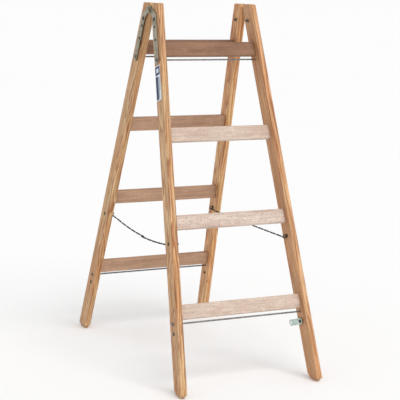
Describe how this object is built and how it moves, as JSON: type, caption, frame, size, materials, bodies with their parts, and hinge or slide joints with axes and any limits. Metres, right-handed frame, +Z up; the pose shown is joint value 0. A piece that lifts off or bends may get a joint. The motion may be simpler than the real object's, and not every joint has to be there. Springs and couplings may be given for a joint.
{
  "type": "step ladder",
  "caption": "Wooden double-sided step ladder: two rung frames hinged at the top, held open by side chains, with a transport catch.",
  "frame": {"origin": "on the ground, midway between the four feet of the open ladder", "axes": "+Z up, X along the rungs with +X to the right seen from in front, -Y towards the front frame"},
  "size_m": [0.4784, 0.8828, 1.1444],
  "materials": {
    "pine": "planed softwood, clear oiled, strong straight grain",
    "beech": "planed beech, clear oiled, fine short flecks",
    "zinc": "zinc-plated pressed steel, slightly dull",
    "steel": "plain drawn steel rod",
    "dark_steel": "dull zinc-plated fasteners",
    "chain_steel": "darkened steel chain",
    "pale_zinc": "bright pale zinc plating",
    "label": null
  },
  "bodies": {
    "front_frame": {"catch_strap_screw": "dark_steel", "front_bottom_tie_rod": "steel", "front_left_bottom_rod_washer": "zinc", "front_left_chain_eye": "dark_steel", "front_left_cross_rivet": "dark_steel", "front_left_hinge_bolt": "dark_steel", "front_left_hinge_leaf": "zinc", "front_left_hinge_nut": "zinc", "front_left_hinge_screw_1": "dark_steel", "front_left_hinge_screw_2": "dark_steel", "front_left_stile": "pine", "front_left_top_rod_washer": "zinc", "front_right_bottom_rod_washer": "zinc", "front_right_chain_eye": "dark_steel", "front_right_hinge_bolt": "dark_steel", "front_right_hinge_leaf": "zinc", "front_right_hinge_nut": "zinc", "front_right_hinge_screw_1": "dark_steel", "front_right_hinge_screw_2": "dark_steel", "front_right_stile": "pine", "front_right_top_rod_washer": "zinc", "front_rung_1": "beech", "front_rung_2": "beech", "front_rung_3": "beech", "front_rung_4": "beech", "front_top_tie_rod": "steel", "left_hinge_pin": "zinc", "right_hinge_pin": "zinc"},
    "rear_frame": {"catch_stud": "dark_steel", "rear_bottom_tie_rod": "steel", "rear_left_bottom_rod_washer": "zinc", "rear_left_chain_eye": "dark_steel", "rear_left_cross_rivet": "dark_steel", "rear_left_hinge_bolt": "dark_steel", "rear_left_hinge_leaf": "zinc", "rear_left_hinge_nut": "zinc", "rear_left_hinge_screw_1": "dark_steel", "rear_left_hinge_screw_2": "dark_steel", "rear_left_stile": "pine", "rear_left_top_rod_washer": "zinc", "rear_right_bottom_rod_washer": "zinc", "rear_right_chain_eye": "dark_steel", "rear_right_hinge_bolt": "dark_steel", "rear_right_hinge_leaf": "zinc", "rear_right_hinge_nut": "zinc", "rear_right_hinge_screw_1": "dark_steel", "rear_right_hinge_screw_2": "dark_steel", "rear_right_stile": "pine", "rear_right_top_rod_washer": "zinc", "rear_rung_1": "beech", "rear_rung_2": "beech", "rear_rung_3": "beech", "rear_rung_4": "beech", "rear_top_tie_rod": "steel"},
    "left_chain_front": {"left_chain_front_half": "chain_steel"},
    "left_chain_rear": {"left_chain_rear_half": "chain_steel"},
    "right_chain_front": {"right_chain_front_half": "chain_steel"},
    "right_chain_rear": {"right_chain_rear_half": "chain_steel"},
    "catch": {"catch_strap": "pale_zinc"}
  },
  "joints": [
    {"name": "fold", "type": "hinge", "parent": "front_frame", "child": "rear_frame", "pos_m": [0, 0, 1.123], "axis": [-1, 0, 0], "range_deg": [0, 37.5]},
    {"name": "left_chain_front_swing", "type": "hinge", "parent": "front_frame", "child": "left_chain_front", "pos_m": [-0.18816, -0.26892, 0.42566], "axis": [-1, 0, 0], "range_deg": [0, 97.4]},
    {"name": "left_chain_rear_swing", "type": "hinge", "parent": "rear_frame", "child": "left_chain_rear", "pos_m": [-0.18277, 0.26892, 0.42566], "axis": [1, 0, 0], "range_deg": [0, 97.4]},
    {"name": "right_chain_front_swing", "type": "hinge", "parent": "front_frame", "child": "right_chain_front", "pos_m": [0.18816, -0.26892, 0.42566], "axis": [-1, 0, 0], "range_deg": [0, 101.9]},
    {"name": "right_chain_rear_swing", "type": "hinge", "parent": "rear_frame", "child": "right_chain_rear", "pos_m": [0.18277, 0.26892, 0.42566], "axis": [1, 0, 0], "range_deg": [0, 101.9]},
    {"name": "catch_swing", "type": "hinge", "parent": "front_frame", "child": "catch", "pos_m": [0.20914, -0.3538, 0.17561], "axis": [-0.9983, -0.0188, -0.0553], "range_deg": [-15, 90]}
  ],
  "couplings": [
    {"joint": "left_chain_front_swing", "follows": "fold", "ratio": 2.5966},
    {"joint": "left_chain_rear_swing", "follows": "fold", "ratio": 2.5966},
    {"joint": "right_chain_front_swing", "follows": "fold", "ratio": 2.715},
    {"joint": "right_chain_rear_swing", "follows": "fold", "ratio": 2.715}
  ]
}
